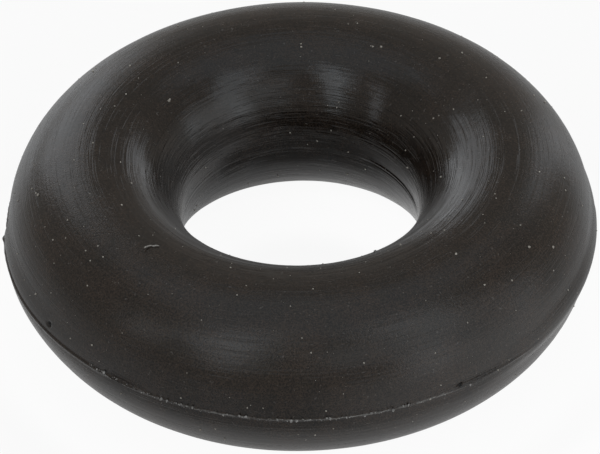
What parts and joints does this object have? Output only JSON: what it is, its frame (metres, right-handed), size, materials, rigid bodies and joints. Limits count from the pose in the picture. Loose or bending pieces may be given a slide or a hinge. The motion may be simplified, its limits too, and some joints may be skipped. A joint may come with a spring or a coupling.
{
  "type": "o-ring",
  "caption": "Moulded black rubber o-ring with a round section, trimmed flash round the bore and the outside, and a lightly dusty matt skin.",
  "frame": {"origin": "on the ring's axis in the mould's parting plane, which is halfway up the section", "axes": "+Z along the ring's axis, straight up when the ring lies on its side face; +X points to the right of the picture's view"},
  "size_m": [0.0113, 0.0112, 0.0036],
  "materials": {
    "rubber": "matt moulded skin with fine turning marks and dust"
  },
  "bodies": {
    "root": {"o_ring": "rubber"}
  },
  "joints": []
}
